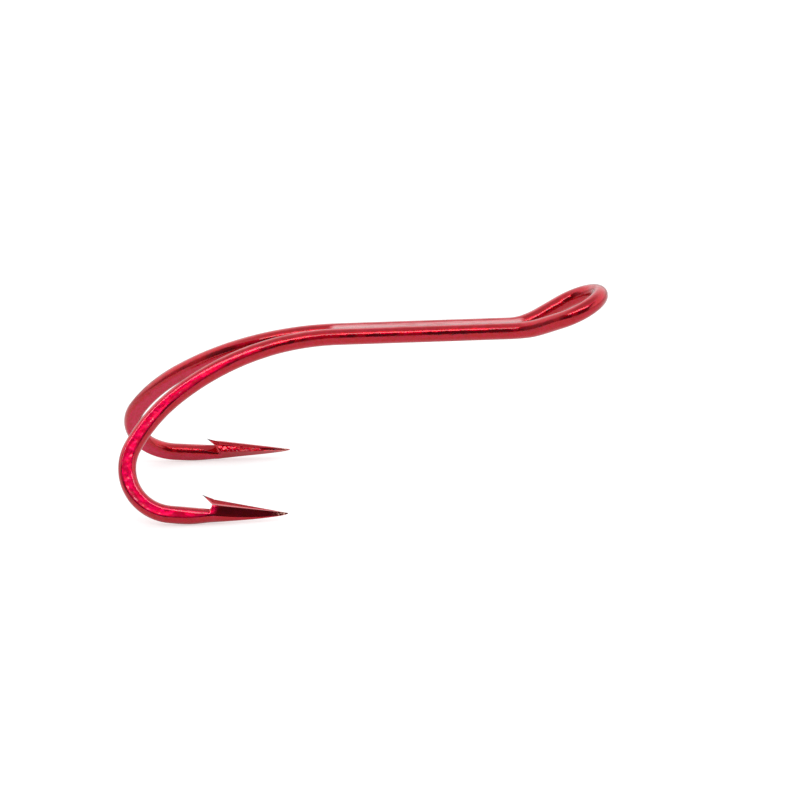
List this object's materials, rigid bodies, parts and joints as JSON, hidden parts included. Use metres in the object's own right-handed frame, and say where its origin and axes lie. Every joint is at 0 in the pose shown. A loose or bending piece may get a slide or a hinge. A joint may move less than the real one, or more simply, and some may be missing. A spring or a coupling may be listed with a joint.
{
  "type": "double fishing hook",
  "caption": "Double fishing hook with a turned-up eye: one wire folded into two splayed barbed bends, brazed along the shank.",
  "frame": {"origin": "middle of the bottom of the bounding box, level with the lowest point of both bends", "axes": "+X along the shank towards the eye, +Z from the points up to the shank, Y across the two hooks, which mirror each other in Y"},
  "size_m": [0.0288, 0.0132, 0.0117],
  "materials": {
    "lacquered_wire": "clear red lacquer over bright steel wire, glossy, with slight orange peel",
    "lacquered_braze": "brazing alloy under the same clear red lacquer, paler and slightly rougher than the wire"
  },
  "bodies": {
    "root": {"hook_wire": "lacquered_wire", "braze_filler": "lacquered_braze"}
  },
  "joints": []
}
